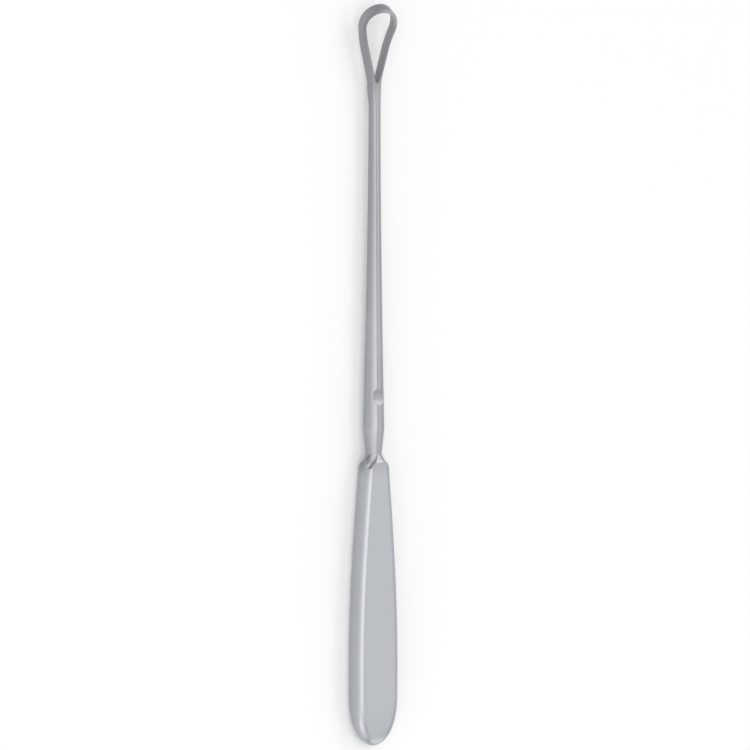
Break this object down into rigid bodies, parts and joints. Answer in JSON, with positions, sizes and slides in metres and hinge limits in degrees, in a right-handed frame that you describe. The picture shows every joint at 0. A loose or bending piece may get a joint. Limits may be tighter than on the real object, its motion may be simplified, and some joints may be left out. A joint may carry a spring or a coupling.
{
  "type": "uterine curette",
  "caption": "Uterine curette in satin stainless steel: a teardrop loop curled forward, a slim tapered shank with a finger dimple, and a flat handle with a rounded end.",
  "frame": {"origin": "centre of the length and of the width, at the height of the handle's flat back, which the tool lies on", "axes": "+Y runs along the tool from the handle to the loop, +X goes across the flat of the handle, +Z points away from the surface the tool lies on, to the side of the finger dimple"},
  "size_m": [0.0154, 0.2288, 0.0099],
  "materials": {
    "steel": "satin"
  },
  "bodies": {
    "root": {"curette": "steel"}
  },
  "joints": []
}
